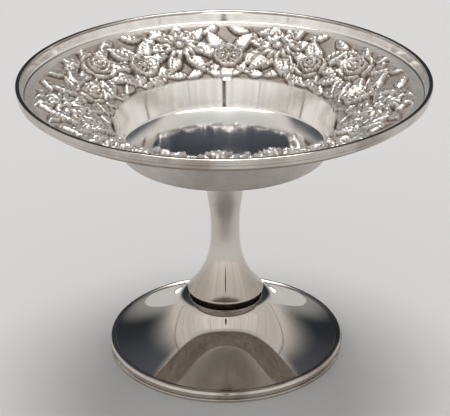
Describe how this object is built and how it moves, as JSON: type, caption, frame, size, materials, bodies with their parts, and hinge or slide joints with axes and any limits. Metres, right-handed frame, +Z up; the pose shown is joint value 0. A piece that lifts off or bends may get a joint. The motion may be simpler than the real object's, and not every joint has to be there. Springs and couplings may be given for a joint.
{
  "type": "footed compote bowl",
  "caption": "Footed compote bowl: a shallow bowl with a wide raised floral flange, on a hollow waisted stem and a flared round foot.",
  "frame": {"origin": "centre of the foot's underside, on the surface that the bowl stands on", "axes": "+Z up along the axis of the stem; +Y points away from the picture's camera and +X to its right"},
  "size_m": [0.1524, 0.1524, 0.1123],
  "materials": {
    "silver_wire": "polished, with tarnish in its grooves",
    "chased_silver": "polished relief with dark tarnish in its recesses",
    "polished_silver": "mirror polish with fine wear",
    "plain_silver": "as worked, lightly tarnished",
    "dark_brass": "turned, darkened in the seam",
    "turned_brass": "turned, aged"
  },
  "bodies": {
    "root": {"rim_wire": "silver_wire", "bowl": "chased_silver", "bowl_seat": "plain_silver", "stem": "polished_silver", "locating_collar": "dark_brass", "foot": "polished_silver", "foot_wire": "silver_wire", "tie_stud": "turned_brass", "stud_washer": "plain_silver", "stud_nut": "turned_brass"}
  },
  "joints": []
}
